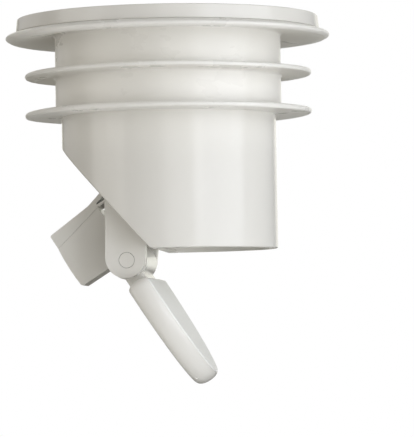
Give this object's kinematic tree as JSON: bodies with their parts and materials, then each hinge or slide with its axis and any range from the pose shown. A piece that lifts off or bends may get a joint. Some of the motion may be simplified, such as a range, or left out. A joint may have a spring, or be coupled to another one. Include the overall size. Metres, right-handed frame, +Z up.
{
  "type": "floor drain odour trap insert",
  "caption": "Waterless floor drain trap: soft finned sleeve on a slant-cut tube whose foot is closed by a hinged D-shaped flap with a counterweight.",
  "frame": {"origin": "on the tube's axis, in the plane of the lip's underside, which rests on the drain", "axes": "+Z up the tube's axis towards the collar, hinge on the -X side, hinge pin along Y"},
  "size_m": [0.0566, 0.0566, 0.064],
  "materials": {
    "body_plastic": "semi-gloss moulded polypropylene, warm white",
    "sleeve_rubber": "smooth soft elastomer, warm white",
    "pin_plastic": "semi-gloss moulded pin, warm white",
    "flap_plastic": "semi-gloss moulded polypropylene, warm white",
    "gasket_rubber": "matt silicone, translucent white",
    "slug_steel": "sawn and tumbled steel",
    "cap_plastic": "semi-gloss moulded polypropylene, warm white"
  },
  "bodies": {
    "body": {"valve_body": "body_plastic", "sealing_sleeve": "sleeve_rubber", "hinge_pin": "pin_plastic"},
    "flap": {"flap": "flap_plastic", "flap_gasket": "gasket_rubber", "counterweight": "slug_steel", "counterweight_cap": "cap_plastic"}
  },
  "joints": [
    {"name": "flap_hinge", "type": "hinge", "parent": "body", "child": "flap", "pos_m": [-0.0066, 0, -0.0385], "axis": [0, -1, 0], "range_deg": [0, 57.5]}
  ]
}
